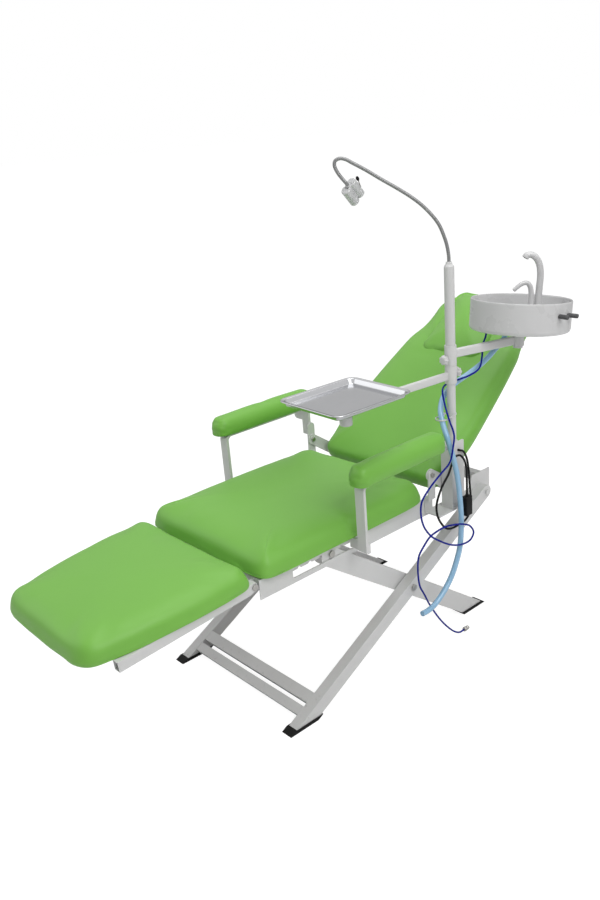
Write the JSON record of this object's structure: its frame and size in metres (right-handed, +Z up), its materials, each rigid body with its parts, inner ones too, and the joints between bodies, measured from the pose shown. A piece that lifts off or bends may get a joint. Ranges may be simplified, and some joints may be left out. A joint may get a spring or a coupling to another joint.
{
  "type": "portable folding dental chair",
  "caption": "Folding treatment chair with tilting backrest and legrest, scissor legs, armrests, and a post with tray, basin and lamp.",
  "frame": {"origin": "middle of the chair's footprint box on the floor, loose hoses and cables left out", "axes": "+Z up, +Y from the legrest to the head end, +X to the side with the post"},
  "size_m": [0.7836, 1.6622, 1.3415],
  "materials": {
    "frame_paint": "satin powder coat",
    "vinyl": "soft vinyl with a light sheen",
    "bolt_steel": "bright zinc",
    "tray_steel": "polished stainless",
    "lamp_chrome": "bright",
    "pale_plastic": "semi gloss",
    "dark_plastic": "satin",
    "shoe_rubber": "matte",
    "plywood": "bare",
    "pale_blue_hose": "smooth",
    "deep_blue_tube": "smooth"
  },
  "bodies": {
    "seat_frame": {"side_plate_left": "frame_paint", "side_plate_right": "frame_paint", "front_cross_tube": "frame_paint", "rear_cross_tube": "frame_paint", "head_cross_tube": "frame_paint", "legrest_pivot_rod": "bolt_steel", "seat_board": "plywood", "seat_cushion": "vinyl", "hinge_bracket_left": "frame_paint", "hinge_bracket_right": "frame_paint", "hinge_bolt_left": "bolt_steel", "hinge_bolt_right": "bolt_steel", "armrest_bar_left": "frame_paint", "armrest_bar_right": "frame_paint", "armrest_pad_left": "vinyl", "armrest_pad_right": "vinyl", "post_bracket": "frame_paint", "post": "frame_paint", "drain_hose": "pale_blue_hose", "water_tube": "deep_blue_tube", "hose_connector": "bolt_steel", "power_cable": "dark_plastic", "power_adapter": "dark_plastic", "cable_tie": "pale_plastic"},
    "front_legs": {"front_leg_left": "frame_paint", "front_leg_right": "frame_paint", "front_shoe_left": "shoe_rubber", "front_shoe_right": "shoe_rubber", "upper_crossbar": "frame_paint", "lower_crossbar": "frame_paint", "leg_cross_bolt_left": "bolt_steel", "leg_cross_bolt_right": "bolt_steel"},
    "rear_legs": {"rear_leg_left": "frame_paint", "rear_leg_right": "frame_paint", "rear_shoe_left": "shoe_rubber", "rear_shoe_right": "shoe_rubber", "slot_shaft": "bolt_steel"},
    "backrest": {"backrest_cushion": "vinyl", "head_pillow": "vinyl", "backrest_rail_left": "frame_paint", "backrest_rail_right": "frame_paint", "backrest_upper_tube": "frame_paint", "backrest_yoke": "frame_paint"},
    "legrest": {"legrest_frame": "frame_paint", "legrest_cushion": "vinyl"},
    "tray_arm": {"tray_arm": "frame_paint"},
    "tray_knob": {"tray_clamp_knob": "pale_plastic"},
    "tray": {"tray": "tray_steel", "tray_spindle": "pale_plastic"},
    "basin_arm": {"basin_arm": "frame_paint"},
    "basin_knob": {"basin_clamp_knob": "pale_plastic"},
    "basin": {"basin": "pale_plastic"},
    "cup_spout": {"cup_spout": "pale_plastic"},
    "rinse_spout": {"rinse_spout": "pale_plastic"},
    "water_valve": {"water_valve_stem": "dark_plastic"},
    "drain_valve": {"drain_valve_stem": "dark_plastic"},
    "lamp": {"lamp_sleeve": "frame_paint", "lamp_neck": "dark_plastic", "lamp_head": "lamp_chrome"},
    "lamp_switch": {"lamp_switch": "dark_plastic"}
  },
  "joints": [
    {"name": "front_leg_fold", "type": "hinge", "parent": "seat_frame", "child": "front_legs", "pos_m": [-0.08677, 0.43867, 0.389], "axis": [-1, 0, 0], "range_deg": [0, 20]},
    {"name": "rear_leg_fold", "type": "hinge", "parent": "front_legs", "child": "rear_legs", "pos_m": [-0.08677, 0.11145, 0.21969], "axis": [1, 0, 0], "range_deg": [0, 44.4]},
    {"name": "backrest_tilt", "type": "hinge", "parent": "seat_frame", "child": "backrest", "pos_m": [-0.08677, 0.2132, 0.51301], "axis": [1, 0, 0], "range_deg": [-28, 5]},
    {"name": "legrest_tilt", "type": "hinge", "parent": "seat_frame", "child": "legrest", "pos_m": [-0.08677, -0.39383, 0.428], "axis": [1, 0, 0], "range_deg": [-4, 68]},
    {"name": "tray_arm_swing", "type": "hinge", "parent": "seat_frame", "child": "tray_arm", "pos_m": [0.16923, 0.28017, 0.7783], "axis": [0, 0, 1], "range_deg": [-60, 75]},
    {"name": "tray_knob_turn", "type": "hinge", "parent": "tray_arm", "child": "tray_knob", "pos_m": [0.16923, 0.305, 0.781], "axis": [0, 1, 0], "range_deg": [-180, 180]},
    {"name": "tray_turn", "type": "hinge", "parent": "tray_arm", "child": "tray", "pos_m": [0.13823, -0.07783, 0.7783], "axis": [0, 0, 1], "continuous": true},
    {"name": "basin_arm_swing", "type": "hinge", "parent": "seat_frame", "child": "basin_arm", "pos_m": [0.16923, 0.28017, 0.8348], "axis": [0, 0, 1], "range_deg": [-60, 35]},
    {"name": "basin_knob_turn", "type": "hinge", "parent": "basin_arm", "child": "basin_knob", "pos_m": [0.16923, 0.256, 0.824], "axis": [0, -1, 0], "range_deg": [-180, 180]},
    {"name": "basin_turn", "type": "hinge", "parent": "basin_arm", "child": "basin", "pos_m": [0.23123, 0.49117, 0.8615], "axis": [0, 0.1115, 0.9938], "range_deg": [-90, 90]},
    {"name": "cup_spout_turn", "type": "hinge", "parent": "basin", "child": "cup_spout", "pos_m": [0.26034, 0.52527, 0.85767], "axis": [0, 0.1115, 0.9938], "range_deg": [-45, 45]},
    {"name": "rinse_spout_turn", "type": "hinge", "parent": "basin", "child": "rinse_spout", "pos_m": [0.24805, 0.51087, 0.85929], "axis": [0, 0.1115, 0.9938], "range_deg": [-60, 60]},
    {"name": "water_valve_turn", "type": "hinge", "parent": "basin", "child": "water_valve", "pos_m": [0.36653, 0.47555, 0.91457], "axis": [0.9877, -0.1555, 0.0174], "range_deg": [0, 90]},
    {"name": "drain_valve_turn", "type": "hinge", "parent": "basin", "child": "drain_valve", "pos_m": [0.36721, 0.51345, 0.91032], "axis": [0.9925, 0.1211, -0.0136], "range_deg": [0, 90]},
    {"name": "lamp_turn", "type": "hinge", "parent": "seat_frame", "child": "lamp", "pos_m": [0.16923, 0.28017, 0.97], "axis": [0, 0, 1], "range_deg": [-120, 120]},
    {"name": "lamp_switch_toggle", "type": "hinge", "parent": "lamp", "child": "lamp_switch", "pos_m": [0.0123, 0.14218, 1.26661], "axis": [-0.9739, -0.003, 0.227], "range_deg": [0, 24]}
  ],
  "couplings": [
    {"joint": "rear_leg_fold", "follows": "front_leg_fold", "ratio": 2.22}
  ]
}
